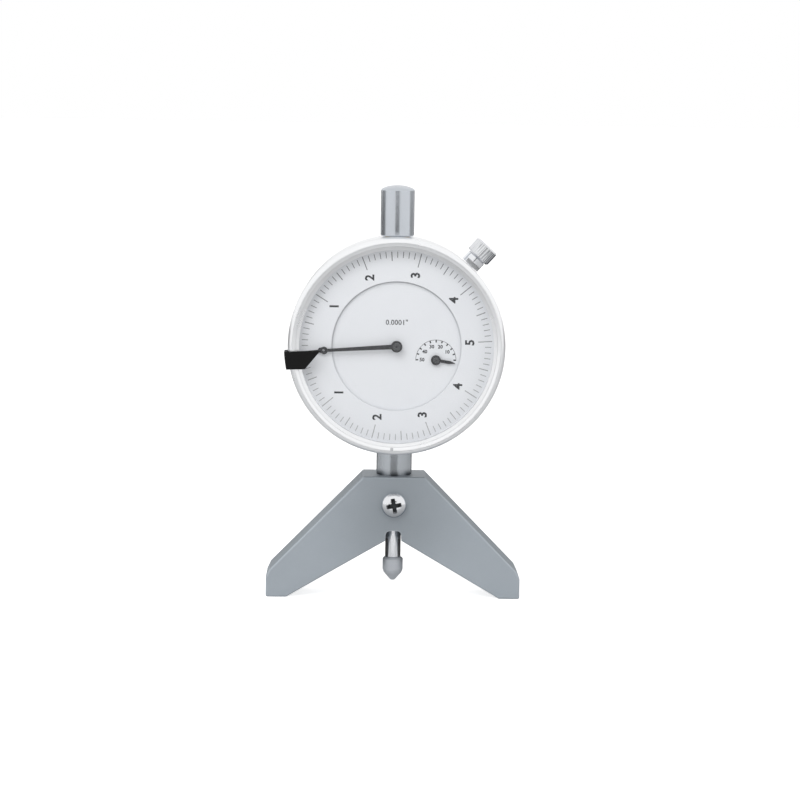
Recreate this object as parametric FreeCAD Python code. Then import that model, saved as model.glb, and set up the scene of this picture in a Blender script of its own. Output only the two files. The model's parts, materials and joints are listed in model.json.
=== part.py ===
import FreeCAD, Part
import math
import os

V = FreeCAD.Vector

# Dial depth gauge, millimetres. Z is up with zero on the floor under the feet.
# The spindle runs along the Z axis, and the dial faces -Y.

# Forked base
base_width = 68.5
base_thickness = 12.7
base_height = 33.1
base_top_width = 16.6
shoulder_height = 7.6
toe_height = 5.5
toe_setback = 1.0
foot_width = 5.5
vee_crown = 16.2
relief_width = 4.3
relief_rise = 1.5
relief_round = 1.3
base_edge_round = 0.5
clamp_screw_drop = 7.5
clamp_screw_size = 4.0
clamp_head_diameter = 6.6
clamp_head_height = 2.4
cross_slot_width = 0.9
cross_slot_length = 3.6
cross_slot_depth = 1.1

# Stem, cap and guide bushes
stem_diameter = 9.525
stem_grip = 11.3
stem_showing = 7.7
stem_bore = 6.0
stem_spigot_diameter = 8.0
cap_diameter = 8.95
cap_length = 13.6
cap_wall = 1.2
cap_bevel = 1.1
upper_bush_diameter = 6.4
upper_bush_rise = 7.5
bush_length = 9.0

# Spindle and contact
spindle_diameter = 4.2
spindle_travel = 1.4
contact_diameter = 5.5
contact_length = 6.4
contact_cone_length = 2.5
contact_tip_radius = 0.6
contact_bevel = 0.5
tip_height = 3.8
contact_thread = 2.4
contact_thread_length = 4.0
cap_head_room = 0.5
collar_diameter = 7.4
collar_height = 2.5

# Case and bezel
case_step = 1.8
case_wall = 3.2
case_front = 8.0
case_back = 5.9
web_thickness = 1.0
spigot_length = 3.8
cover_thickness = 1.6
cover_edge_round = 0.8
cover_screw_count = 4
cover_screw_turn = 22.0
cover_screw_size = 1.8
cover_screw_length = 3.5
bezel_diameter = 57.15
bezel_length = 7.85
bezel_wall = 2.125
bezel_lip = 0.85
bezel_rim_step = 0.15
bezel_rim_length = 1.55
bezel_shoulder = 1.2
marker_groove_width = 0.6
marker_groove_depth = 0.45
retainer_wire = 0.4
retainer_depth = 0.8
retainer_gap = 3.0
crystal_thickness = 0.8
crystal_ring_thickness = 0.6

# Dial and hands
counter_distance_share = 0.44
counter_direction = -18.8
dial_thickness = 0.5
ring_dial_share = 0.363
zero_direction = 183.7
main_hand_inset = 1.8
main_hub_diameter = 3.0
main_hand_root = 1.25
main_hand_end = 0.75
hand_ring_inset = 4.7
hand_ring_diameter = 2.0
hand_ring_hole = 0.9
hand_thickness = 0.3
counter_hand_share = 0.473
counter_hand_width = 0.8
counter_hub_diameter = 2.6
counter_rest_direction = -9.0

# Limit marker on the bezel
marker_direction = 182.3
marker_thickness = 0.5
marker_width = 4.9
marker_reach = 8.6
marker_heel_reach = 4.4
marker_overhang = 0.9

# Bezel clamp
clamp_direction = 47.5
clamp_setback = 3.5
shoe_diameter = 5.4
shoe_height = 2.85
shoe_lip_thickness = 1.1
knob_diameter = 6.8
knob_length = 4.1
knob_edge = 0.45
knob_stud_diameter = 2.0
clamp_stroke = 0.25

# Gear train from the rack to the hand, with tooth sizes as shares of the module
rack_pitch = 0.635
tooth_addendum = 0.75
tooth_dedendum = 1.05
tooth_play = 0.12
flank_angle = 20.0
rack_pinion_teeth = 16
first_wheel_teeth = 72
first_module_share = 0.01
counter_pinion_teeth = 18
counter_wheel_teeth = 100
centre_pinion_teeth = 10
takeup_wheel_teeth = 60
takeup_direction = 180.0
wheel_thickness = 0.6
pinion_length = 2.0
rack_pinion_length = 1.6
rack_cut = 0.35
arbor_diameter = 1.2
pivot_diameter = 0.7
hand_arbor_diameter = 1.0
collet_diameter = 1.8
hairspring_turns = 3
hairspring_diameter = 8.0
hairspring_band = 0.12
hairspring_height = 0.7
stud_width = 1.2

# Movement plates and fixings
plate_thickness = 0.8
plate_margin = 2.0
plate_spacing = 6.0
plate_window_diameter = 9.0
spindle_gap = 0.7
pillar_diameter = 3.2
pillar_margin = 1.8
pillar_directions = (45.0, 137.0, 212.0, 315.0)
small_screw = 1.4
small_head_diameter = 2.4
small_head_height = 0.9
jewel_diameter = 2.0
cock_height = 6.0
cock_width = 4.0
guide_pin_diameter = 1.4
guide_pin_rise = 8.0
guide_block_width = 4.0
guide_block_offset = 4.4
guide_wall = 2.6
spring_offset = 10.2
spring_post_drop = 14.0
spring_post_diameter = 1.4
spring_diameter = 2.6
spring_wire = 0.3
spring_turns = 14

# Clearances
slide_gap = 0.03
fixed_gap = 0.02
turn_gap = 0.05
side_gap = 0.3

# Places that follow from the sizes
bezel_radius = bezel_diameter / 2
bezel_bore_radius = bezel_radius - bezel_wall
bezel_rim_radius = bezel_radius - bezel_rim_step
ring_dial_width = ring_dial_share * bezel_bore_radius
opening_radius = bezel_bore_radius - bezel_lip
spigot_radius = bezel_bore_radius - turn_gap
case_radius = spigot_radius + case_step
bore_radius = case_radius - case_wall
plate_radius = bore_radius - plate_margin
inner_dial_radius = bezel_bore_radius - turn_gap - ring_dial_width + side_gap / 2
main_hand_length = opening_radius - main_hand_inset
hand_ring_radius = main_hand_length - hand_ring_inset
marker_tip_radius = bezel_radius - marker_reach
marker_heel_radius = bezel_radius - marker_heel_reach
dial_height = base_height + stem_showing + case_radius
stem_bottom = base_height - stem_grip
base_front = -base_thickness / 2
rear_plate_back = -spindle_diameter / 2 - spindle_gap
rear_plate_front = rear_plate_back - plate_thickness
front_plate_back = rear_plate_front - plate_spacing
web_back = front_plate_back - plate_thickness
web_front = web_back - web_thickness
inner_dial_front = web_front - dial_thickness
spigot_front = -case_front - spigot_length
ring_dial_back = spigot_front - side_gap
ring_dial_front = ring_dial_back - dial_thickness
bezel_back = -case_front - turn_gap
bezel_front = bezel_back - bezel_length
bezel_rim_front = bezel_back - bezel_rim_length
retainer_middle = bezel_rim_front - side_gap
marker_groove_back = bezel_rim_front - 3 * marker_groove_width
crystal_ring_front = bezel_front + side_gap
crystal_front = crystal_ring_front + crystal_ring_thickness
crystal_back = crystal_front + crystal_thickness
hand_room = crystal_back - ring_dial_front
main_hand_back = ring_dial_front + 0.38 * hand_room
counter_hand_back = inner_dial_front - side_gap
crystal_radius = bezel_bore_radius - turn_gap
marker_back = bezel_front - 2 * turn_gap
marker_front = marker_back - marker_thickness


# Small helpers for directions and outlines
def polar(radius, degrees):
    angle = math.radians(degrees)
    return radius * math.cos(angle), radius * math.sin(angle)


def outline(points, place):
    # A closed outline through (a, b) corners. A third value bevels the corner by that much,
    # and "round" after it makes the corner an arc of that radius instead.
    joints = []
    for index, corner in enumerate(points):
        here = V(corner[0], corner[1], 0)
        before = V(*points[index - 1][:2], 0)
        after = V(*points[(index + 1) % len(points)][:2], 0)
        if len(corner) == 2:
            joints.append((here, None, here))
            continue
        to_before = (before - here).normalize()
        to_after = (after - here).normalize()
        if len(corner) == 3:
            joints.append((here + to_before * corner[2], None, here + to_after * corner[2]))
            continue
        half = to_before.getAngle(to_after) / 2
        reach = corner[2] / math.tan(half)
        middle = here + (to_before + to_after).normalize() * (corner[2] / math.sin(half) - corner[2])
        joints.append((here + to_before * reach, middle, here + to_after * reach))
    edges = []
    for index, (start, middle, end) in enumerate(joints):
        if middle:
            edges.append(Part.Arc(place(start), place(middle), place(end)).toShape())
        elif start != end:
            edges.append(Part.LineSegment(place(start), place(end)).toShape())
        following = joints[(index + 1) % len(joints)][0]
        edges.append(Part.LineSegment(place(end), place(following)).toShape())
    return Part.Wire(edges)


def turned_y(profile, x=0.0, z=0.0):
    # The profile holds (y, radius) corners, turned about the line through x, z along Y.
    wire = outline(profile, lambda point: V(x + point.y, point.x, z))
    return Part.Face(wire).revolve(V(x, 0, z), V(0, 1, 0), 360)


def turned_z(profile, x=0.0, y=0.0):
    # The profile holds (z, radius) corners, turned about the line through x, y along Z.
    wire = outline(profile, lambda point: V(x + point.y, y, point.x))
    return Part.Face(wire).revolve(V(x, y, 0), V(0, 0, 1), 360)


def rod_y(start, end, radius, x=0.0, z=0.0):
    low, high = min(start, end), max(start, end)
    return Part.makeCylinder(radius, high - low, V(x, low, z), V(0, 1, 0))


def rod_z(start, end, radius, x=0.0, y=0.0):
    low, high = min(start, end), max(start, end)
    return Part.makeCylinder(radius, high - low, V(x, y, low), V(0, 0, 1))


def ring_y(start, end, outer, inner, x=0.0, z=0.0):
    return turned_y([(start, inner), (start, outer), (end, outer), (end, inner)], x, z)


def slab_y(points, start, end):
    # A flat outline in X and Z given thickness from one Y to another.
    wire = outline(points, lambda point: V(point.x, start, point.y))
    return Part.Face(wire).extrude(V(0, end - start, 0))


def block(low, high):
    size = [high[axis] - low[axis] for axis in range(3)]
    return Part.makeBox(size[0], size[1], size[2], V(*low))


def stacked(steps, x, z):
    # A turned arbor from (start, end, radius) steps in order along Y.
    profile = [(steps[0][0], 0)]
    for start, end, radius in steps:
        profile += [(start, radius), (end, radius)]
    profile.append((steps[-1][1], 0))
    return turned_y(profile, x, z)


def joined(shapes):
    whole = shapes[0].fuse(shapes[1:]) if len(shapes) > 1 else shapes[0]
    return whole.removeSplitter()


def group(shapes):
    return Part.makeCompound(shapes)


def save(name, shape):
    shape.exportStep("parts/" + name + ".step")


# Gear helpers: straight-flanked teeth, thinned at the pitch line for backlash
def gear_outline(teeth, module, phase, x, z):
    pitch_radius = teeth * module / 2
    step = 360.0 / teeth
    half_pitch = step / 4 - math.degrees(tooth_play * module / pitch_radius)
    flank = math.degrees(flank_slope * module / pitch_radius)
    points = []
    for index in range(teeth):
        centre = phase + index * step
        root = half_pitch + 0.6 * flank * tooth_dedendum
        tip = half_pitch - flank * tooth_addendum
        for radius, offset in (
            (pitch_radius - tooth_dedendum * module, -root),
            (pitch_radius + tooth_addendum * module, -tip),
            (pitch_radius + tooth_addendum * module, tip),
            (pitch_radius - tooth_dedendum * module, root),
        ):
            across, up = polar(radius, centre + offset)
            points.append(V(x + across, 0, z + up))
    return Part.makePolygon(points + [points[0]])


def gear(teeth, module, phase, x, z, start, end):
    wire = gear_outline(teeth, module, phase, x, z)
    wire.translate(V(0, start, 0))
    return Part.Face(wire).extrude(V(0, end - start, 0))


# Forked base and its screw
def make_depth_base():
    half = base_width / 2
    top = base_top_width / 2
    shoulder = half - toe_setback
    inner = half - foot_width
    apex = base_height - vee_crown
    right = [
        (top, base_height, base_edge_round, "round"),
        (shoulder, shoulder_height),
        (half, toe_height),
        (half, 0),
        (inner, 0),
    ]
    left = [(-corner[0],) + corner[1:] for corner in reversed(right)]
    body = slab_y(right + [(0, apex)] + left, base_front, -base_front)
    rims = [edge for edge in body.Edges
            if all(abs(abs(corner.Point.y) + base_front) < 1e-6 for corner in edge.Vertexes)]
    body = body.makeFillet(base_edge_round, rims)
    side, crown = relief_width / 2, apex + relief_rise
    cuts = [
        slab_y([(-side, apex - relief_width), (side, apex - relief_width),
                (side, crown, relief_round, "round"), (-side, crown, relief_round, "round")],
               base_front - 1, -base_front + 1),
        rod_z(stem_bottom - side_gap, base_height + 1, stem_diameter / 2 + fixed_gap),
        rod_z(0, base_height, stem_bore / 2),
        rod_y(base_front - 1, 0, clamp_screw_size / 2 + fixed_gap, 0, base_height - clamp_screw_drop),
    ]
    return body.cut(cuts).removeSplitter()


def make_base_clamp_screw():
    height = base_height - clamp_screw_drop
    face = base_front - clamp_head_height
    head = turned_y([
        (base_front, 0),
        (base_front, clamp_head_diameter / 2),
        (base_front - 0.35 * clamp_head_height, clamp_head_diameter / 2, 0.25),
        (face, 0.62 * clamp_head_diameter / 2, clamp_head_height / 2, "round"),
        (face, 0),
    ], 0, height)
    shank = rod_y(base_front, -stem_diameter / 2 - fixed_gap, clamp_screw_size / 2, 0, height)
    bars = []
    for turn in (12, 102):
        bar = block(
            (-cross_slot_length / 2, face - 1, -cross_slot_width / 2),
            (cross_slot_length / 2, face + cross_slot_depth, cross_slot_width / 2),
        )
        bar.rotate(V(0, 0, 0), V(0, 1, 0), -turn)
        bar.translate(V(0, 0, height))
        bars.append(bar)
    return head.fuse(shank).cut(bars).removeSplitter()


# Stem, cap and guide bushes
def case_cylinder(radius):
    return rod_y(-2 * case_radius, 2 * case_radius, radius, 0, dial_height)


def make_stem():
    inside = dial_height - bore_radius + 2 * side_gap
    tube = rod_z(stem_bottom, dial_height - case_radius + stem_diameter / 2, stem_diameter / 2)
    tube = tube.cut(case_cylinder(case_radius + fixed_gap))
    spigot = rod_z(dial_height - case_radius - 1, inside, stem_spigot_diameter / 2)
    return tube.fuse(spigot).cut(rod_z(0, inside + 1, stem_bore / 2)).removeSplitter()


def make_lower_bush():
    outer = stem_bore / 2 - fixed_gap
    inner = spindle_diameter / 2 + slide_gap
    top = stem_bottom + bush_length
    return turned_z([
        (stem_bottom, inner), (stem_bottom, outer), (top, outer), (top, inner),
    ])


def make_upper_bush():
    low = dial_height + bore_radius - 2 * side_gap
    top = dial_height + case_radius + upper_bush_rise
    outer = upper_bush_diameter / 2
    inner = spindle_diameter / 2 + slide_gap
    return turned_z([(low, inner), (low, outer), (top, outer), (top, inner)])


def cap_top():
    return dial_height + case_radius + cap_length


def make_dust_cap():
    low = dial_height + case_radius + fixed_gap
    top = cap_top()
    outer = cap_diameter / 2
    bore = upper_bush_diameter / 2 + fixed_gap
    return turned_z([
        (low, bore),
        (low, outer, 0.3),
        (top, outer, cap_bevel),
        (top, 0),
        (top - cap_wall, 0),
        (top - cap_wall, bore),
    ])


# Spindle, contact and stop
def contact_top():
    return tip_height + contact_length


def rack_gap_height(index):
    return dial_height + first_centre[1] + index * rack_pitch


def make_spindle():
    low = contact_top()
    top = cap_top() - cap_wall - cap_head_room - spindle_travel
    rod = turned_z([
        (low, 0),
        (low, spindle_diameter / 2, 0.2),
        (top, spindle_diameter / 2, 0.4),
        (top, 0),
    ])
    reach = int((rack_pinion_radius * 0.9 + spindle_travel) / rack_pitch) + 2
    first, last = -reach, reach - 1
    flat = block(
        (rack_tip, -spindle_diameter, rack_gap_height(first) - rack_pitch / 2),
        (spindle_diameter, spindle_diameter, rack_gap_height(last) + rack_pitch / 2),
    )
    cuts = [flat]
    for index in range(first, last + 1):
        middle = rack_gap_height(index)
        half = rack_pitch / 4 + tooth_play * rack_module
        mouth = half + flank_slope * tooth_addendum * rack_module
        floor = half - flank_slope * tooth_dedendum * rack_module
        depth = rack_tip - (tooth_addendum + tooth_dedendum) * rack_module
        notch = slab_y([
            (rack_tip + 0.01, middle - mouth),
            (rack_tip + 0.01, middle + mouth),
            (depth, middle + floor),
            (depth, middle - floor),
        ], -spindle_diameter, spindle_diameter)
        cuts.append(notch)
    cuts.append(rod_z(low - 1, low + contact_thread_length + side_gap, contact_thread / 2 + fixed_gap))
    pin_height = dial_height + guide_pin_rise
    cuts.append(Part.makeCylinder(
        guide_pin_diameter / 2 + fixed_gap, 4 * spindle_diameter,
        V(-2 * spindle_diameter, 0, pin_height), V(1, 0, 0)))
    return rod.cut(cuts).removeSplitter()


def make_contact_point():
    top = contact_top() - fixed_gap
    shoulder = tip_height + contact_cone_length
    radius = contact_diameter / 2
    return turned_z([
        (tip_height, 0),
        (tip_height, contact_tip_radius, contact_tip_radius / 2, "round"),
        (shoulder, radius, contact_bevel),
        (top, radius, contact_bevel),
        (top, contact_thread / 2),
        (top + contact_thread_length, contact_thread / 2),
        (top + contact_thread_length, 0),
    ])


def stop_collar_low():
    return dial_height - bore_radius + 2 * side_gap + turn_gap


def make_stop_collar():
    low = stop_collar_low()
    inner = spindle_diameter / 2 + fixed_gap
    outer = collar_diameter / 2
    return turned_z([
        (low, inner), (low, outer, 0.3), (low + collar_height, outer, 0.3), (low + collar_height, inner),
    ])


def make_guide_pin():
    start = -spring_offset - spring_diameter / 2
    length = spindle_diameter / 2 + side_gap - start
    return Part.makeCylinder(
        guide_pin_diameter / 2, length, V(start, 0, dial_height + guide_pin_rise), V(1, 0, 0))


# Case, back cover and what holds them
def clamp_axis(shape):
    # Turns a shape built along +Z, measured from the dial centre, to the bezel clamp's place.
    shape.rotate(V(0, 0, 0), V(0, 1, 0), 90 - clamp_direction)
    shape.translate(V(0, -clamp_setback, dial_height))
    return shape


def cover_screw_places():
    for index in range(cover_screw_count):
        angle = cover_screw_turn + index * 360 / cover_screw_count
        across, up = polar(bore_radius - cover_screw_size / 2, angle)
        yield across, dial_height + up


def make_case():
    groove_back = retainer_middle + retainer_wire
    groove_front = retainer_middle - retainer_wire
    groove_radius = spigot_radius - retainer_depth / 2 - turn_gap
    shell = turned_y([
        (case_back, bore_radius),
        (case_back, case_radius, 0.2),
        (-case_front, case_radius, 0.3),
        (-case_front, spigot_radius),
        (groove_back, spigot_radius),
        (groove_back, groove_radius),
        (groove_front, groove_radius),
        (groove_front, spigot_radius),
        (spigot_front, spigot_radius),
        (spigot_front, bore_radius),
        (web_front, bore_radius),
        (web_front, 0),
        (web_back, 0),
        (web_back, bore_radius),
    ], 0, dial_height)
    bosses = [rod_y(rear_plate_back + side_gap, case_back, cover_screw_size, across, up)
              for across, up in cover_screw_places()]
    seat = clamp_axis(rod_z(bore_radius + case_wall / 2, case_radius + turn_gap, shoe_diameter / 2))
    shell = shell.fuse(bosses + [seat])
    hand_hole = hand_arbor_diameter / 2 + side_gap
    cuts = [
        rod_y(web_front - 1, web_back + 1, hand_hole, 0, dial_height),
        rod_y(web_front - 1, web_back + 1, hand_hole, counter_centre[0], dial_height + counter_centre[1]),
        rod_z(dial_height - case_radius - 2, dial_height, stem_spigot_diameter / 2 + fixed_gap),
        rod_z(dial_height, dial_height + case_radius + 2, upper_bush_diameter / 2 + fixed_gap),
        clamp_axis(rod_z(bore_radius - 1, case_radius + 5, knob_stud_diameter / 2 + turn_gap)),
    ]
    for across, up in cover_screw_places():
        cuts.append(rod_y(case_back - cover_screw_length - side_gap, case_back + 1,
                          cover_screw_size / 2 + fixed_gap, across, up))
    for across, up in pillar_places():
        cuts.append(rod_y(web_front - 1, web_back + 1, small_screw / 2 + fixed_gap, across, up))
    for across, up in dial_foot_places():
        cuts.append(rod_y(web_front - 1, web_back + 1, small_screw / 2 + fixed_gap, across, up))
    return shell.cut(cuts).removeSplitter()


def make_back_cover():
    back = case_back + cover_thickness
    lip = bore_radius - cover_screw_size * 2 - side_gap
    disc = turned_y([
        (case_back + fixed_gap - cover_thickness / 2, 0),
        (case_back + fixed_gap - cover_thickness / 2, lip),
        (case_back + fixed_gap, lip),
        (case_back + fixed_gap, case_radius, 0.2),
        (back, case_radius, cover_edge_round),
        (back, 0),
    ], 0, dial_height)
    cuts = []
    for across, up in cover_screw_places():
        cuts.append(rod_y(case_back - 1, back + 1, cover_screw_size / 2 + turn_gap, across, up))
        cuts.append(rod_y(back - small_head_height, back + 1, cover_screw_size + turn_gap, across, up))
    return disc.cut(cuts).removeSplitter()


def slotted_screw(head_face, seat, tip, head_radius, shank_radius, x, z):
    # A cheese-head screw along Y with a straight driver slot.
    head = rod_y(seat, head_face, head_radius, x, z)
    shank = rod_y(seat, tip, shank_radius, x, z)
    inward = 1 if seat > head_face else -1
    floor = head_face + inward * abs(head_face - seat) * 0.45
    slot_half = shank_radius * 0.22
    slot = block(
        (x - 2 * head_radius, min(floor, head_face - inward), z - slot_half),
        (x + 2 * head_radius, max(floor, head_face - inward), z + slot_half),
    )
    return head.fuse(shank).cut(slot).removeSplitter()


def make_cover_screws():
    back = case_back + cover_thickness
    seat = back - small_head_height + fixed_gap
    return group([
        slotted_screw(back, seat, case_back - cover_screw_length, cover_screw_size, cover_screw_size / 2,
                      across, up)
        for across, up in cover_screw_places()])


# Bezel with its crystal, ring and turning dial
def make_bezel():
    pocket = bezel_bore_radius + retainer_depth / 2 + turn_gap
    return turned_y([
        (bezel_back, bezel_bore_radius),
        (bezel_back, bezel_rim_radius, 0.2),
        (bezel_rim_front, bezel_rim_radius),
        (bezel_rim_front, bezel_radius, bezel_rim_step / 2),
        (marker_groove_back, bezel_radius),
        (marker_groove_back, bezel_radius - marker_groove_depth),
        (marker_groove_back - marker_groove_width, bezel_radius - marker_groove_depth),
        (marker_groove_back - marker_groove_width, bezel_radius),
        (bezel_front, bezel_radius, bezel_shoulder, "round"),
        (bezel_front, bezel_bore_radius),
        (crystal_back, bezel_bore_radius),
        (crystal_back, opening_radius),
        (ring_dial_front, opening_radius),
        (ring_dial_front, bezel_bore_radius),
        (retainer_middle - retainer_wire, bezel_bore_radius),
        (retainer_middle - retainer_wire, pocket),
        (retainer_middle + retainer_wire, pocket),
        (retainer_middle + retainer_wire, bezel_bore_radius),
    ], 0, dial_height)


def make_bezel_retainer():
    inner = spigot_radius - retainer_depth / 2
    outer = bezel_bore_radius + retainer_depth / 2 - turn_gap
    half = retainer_wire / 2
    ring = ring_y(retainer_middle - half, retainer_middle + half, outer, inner, 0, dial_height)
    gap = block((-retainer_gap / 2, -bezel_radius, dial_height),
                (retainer_gap / 2, 0, dial_height + bezel_radius))
    return ring.cut(gap)


def make_crystal():
    return turned_y([
        (crystal_front, 0),
        (crystal_front, crystal_radius),
        (crystal_back, crystal_radius),
        (crystal_back, 0),
    ], 0, dial_height)


def make_crystal_ring():
    inner = opening_radius
    return turned_y([
        (crystal_ring_front, inner + 0.25),
        (crystal_ring_front, crystal_radius),
        (crystal_front, crystal_radius),
        (crystal_front, inner),
        (crystal_ring_front + 0.25, inner),
    ], 0, dial_height)


def make_dial_ring():
    return ring_y(ring_dial_front, ring_dial_back, crystal_radius,
                  inner_dial_radius + side_gap / 2, 0, dial_height)


def make_inner_dial():
    disc = rod_y(inner_dial_front, web_front, inner_dial_radius + side_gap, 0, dial_height)
    hole = hand_arbor_diameter / 2 + side_gap
    feet = [rod_y(web_front, web_back, small_screw / 2, across, up) for across, up in dial_foot_places()]
    cuts = [
        rod_y(inner_dial_front - 1, web_front + 1, hole, 0, dial_height),
        rod_y(inner_dial_front - 1, web_front + 1, hole, counter_centre[0], dial_height + counter_centre[1]),
    ]
    return disc.fuse(feet).cut(cuts).removeSplitter()


def dial_foot_places():
    for side in (-1, 1):
        across, up = polar(inner_dial_radius - small_head_diameter, 90 + side * 68)
        yield across, dial_height + up


# Where the arbors and pillars stand, seen from the front
flank_slope = math.tan(math.radians(flank_angle))
rack_module = rack_pitch / math.pi
rack_pinion_radius = rack_pinion_teeth * rack_module / 2
rack_tip = spindle_diameter / 2 - rack_cut
counter_distance = counter_distance_share * bore_radius
counter_hand_length = counter_hand_share * counter_distance
counter_module = 2 * counter_distance / (counter_wheel_teeth + centre_pinion_teeth)
counter_centre = polar(counter_distance, counter_direction)
first_module = first_module_share * bore_radius
first_distance = first_module * (first_wheel_teeth + counter_pinion_teeth) / 2
first_across = rack_tip + rack_pinion_radius - tooth_addendum * rack_module
first_drop = math.sqrt(first_distance ** 2 - (counter_centre[0] - first_across) ** 2)
first_centre = (first_across, counter_centre[1] - first_drop)
takeup_distance = counter_module * (takeup_wheel_teeth + centre_pinion_teeth) / 2
takeup_centre = polar(takeup_distance, takeup_direction)


def pillar_places():
    for angle in pillar_directions:
        across, up = polar(plate_radius - pillar_margin, angle)
        yield across, dial_height + up


# Gear train
def meshing_phase(own_teeth, own_phase, own_centre, other_teeth, other_centre):
    # The phase at which the other wheel's gap faces this wheel's nearest tooth.
    step_x = other_centre[0] - own_centre[0]
    step_z = other_centre[1] - own_centre[1]
    towards = math.degrees(math.atan2(step_z, step_x))
    pitch = 360.0 / own_teeth
    offset = (own_phase - towards + pitch / 2) % pitch - pitch / 2
    return towards + 180 - offset * own_teeth / other_teeth + 180.0 / other_teeth


def direction_to(start, end):
    return math.degrees(math.atan2(end[1] - start[1], end[0] - start[0]))


def train_phases():
    phases = {"rack_pinion": 180.0}
    phases["first_wheel"] = direction_to(first_centre, counter_centre)
    phases["counter_pinion"] = meshing_phase(
        first_wheel_teeth, phases["first_wheel"], first_centre, counter_pinion_teeth, counter_centre)
    phases["counter_wheel"] = direction_to(counter_centre, (0, 0))
    phases["centre_pinion"] = meshing_phase(
        counter_wheel_teeth, phases["counter_wheel"], counter_centre, centre_pinion_teeth, (0, 0))
    phases["takeup_wheel"] = meshing_phase(
        centre_pinion_teeth, phases["centre_pinion"], (0, 0), takeup_wheel_teeth, takeup_centre)
    return phases


def wheel(teeth, module, phase, centre, start, seat_radius):
    # A toothed wheel with five round lightening holes, seated on its arbor.
    x, z = centre[0], dial_height + centre[1]
    end = start + wheel_thickness
    blank = gear(teeth, module, phase, x, z, start, end)
    root = module * (teeth / 2 - 2)
    cuts = [rod_y(start - 1, end + 1, seat_radius + fixed_gap, x, z)]
    hole_radius = (root - seat_radius) * 0.3
    for index in range(5):
        across, up = polar((root + seat_radius) / 2, phase + 72 * index)
        cuts.append(rod_y(start - 1, end + 1, hole_radius, x + across, z + up))
    return blank.cut(cuts)


def arbor(centre, steps, teeth, module, phase, pinion_start, pinion_end):
    # An arbor with its pinion leaves cut on it.
    x, z = centre[0], dial_height + centre[1]
    return joined([stacked(steps, x, z), gear(teeth, module, phase, x, z, pinion_start, pinion_end)])


def make_train():
    phases = train_phases()
    body = arbor_diameter / 2
    pivot = pivot_diameter / 2
    hand_body = hand_arbor_diameter / 2
    pieces = {}

    # First arbor, from the rear cock to the front plate
    low_pivot = front_plate_back - plate_thickness
    low_end = front_plate_back + turn_gap
    cock_back = rear_plate_back + cock_height
    cock_front = cock_back - plate_thickness
    first_wheel_start = rear_plate_front - turn_gap * 4 - 2 * wheel_thickness
    pieces["first_arbor"] = arbor(first_centre, [
        (low_pivot, low_end, pivot),
        (low_end, cock_front - turn_gap, body),
        (cock_front - turn_gap, cock_back, pivot),
    ], rack_pinion_teeth, rack_module, phases["rack_pinion"], -rack_pinion_length / 2, rack_pinion_length / 2)
    pieces["first_wheel"] = wheel(
        first_wheel_teeth, first_module, phases["first_wheel"], first_centre, first_wheel_start, body)

    # Counter arbor, from the rear plate through the dial to its small hand
    fast_start = front_plate_back + 2 * wheel_thickness
    pinion_start = first_wheel_start + wheel_thickness / 2 - pinion_length / 2
    hand_seat = counter_hand_back - 2 * hand_thickness
    pieces["counter_arbor"] = arbor(counter_centre, [
        (hand_seat, low_end, hand_body),
        (low_end, rear_plate_front - turn_gap, body),
        (rear_plate_front - turn_gap, rear_plate_back, pivot),
    ], counter_pinion_teeth, first_module, phases["counter_pinion"], pinion_start, pinion_start + pinion_length)
    pieces["counter_wheel"] = wheel(
        counter_wheel_teeth, counter_module, phases["counter_wheel"], counter_centre, fast_start, body)

    # Centre arbor, which carries the main hand
    pieces["centre_arbor"] = arbor((0, 0), [
        (main_hand_back - 2 * hand_thickness, low_end, hand_body),
        (low_end, rear_plate_front - turn_gap, body),
        (rear_plate_front - turn_gap, rear_plate_back, pivot),
    ], centre_pinion_teeth, counter_module, phases["centre_pinion"],
        fast_start + wheel_thickness / 2 - pinion_length / 2,
        fast_start + wheel_thickness / 2 + pinion_length / 2)

    # Take-up arbor with the wheel and collet that the hairspring turns
    x, z = takeup_centre[0], dial_height + takeup_centre[1]
    pieces["takeup_arbor"] = stacked([
        (low_pivot, low_end, pivot),
        (low_end, rear_plate_front - turn_gap, body),
        (rear_plate_front - turn_gap, rear_plate_back, pivot),
    ], x, z)
    pieces["takeup_wheel"] = wheel(
        takeup_wheel_teeth, counter_module, phases["takeup_wheel"], takeup_centre, fast_start, body)
    spring_start = fast_start + 2 * wheel_thickness
    pieces["hairspring_collet"] = ring_y(
        spring_start, spring_start + hairspring_height, collet_diameter / 2, body + fixed_gap, x, z)
    return pieces


def spiral_point(turn, radius, x, z):
    across, up = polar(radius, 90 + 360 * turn)
    return V(x + across, 0, z + up)


def make_hairspring():
    x, z = takeup_centre[0], dial_height + takeup_centre[1]
    start = front_plate_back + 4 * wheel_thickness
    inner = collet_diameter / 2 + fixed_gap
    growth = (hairspring_diameter / 2 - inner) / hairspring_turns
    steps = 12 * hairspring_turns
    outside = []
    inside = []
    for index in range(steps + 1):
        turn = index / 12
        radius = inner + growth * turn
        inside.append(spiral_point(turn, radius, x, z))
        outside.append(spiral_point(turn, radius + hairspring_band, x, z))
    wire = Part.makePolygon(inside + outside[::-1] + [inside[0]])
    wire.translate(V(0, start, 0))
    return Part.Face(wire).extrude(V(0, hairspring_height, 0))


def make_hairspring_stud():
    x, z = takeup_centre[0], dial_height + takeup_centre[1]
    start = front_plate_back + 4 * wheel_thickness
    reach = hairspring_diameter / 2 + hairspring_band + fixed_gap
    half = stud_width / 2
    return block((x - half, start, z + reach), (x + half, rear_plate_front, z + reach + stud_width))


# Movement plates, pillars, jewels and the cock
def arbor_centres():
    return [first_centre, counter_centre, (0, 0), takeup_centre]


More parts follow.
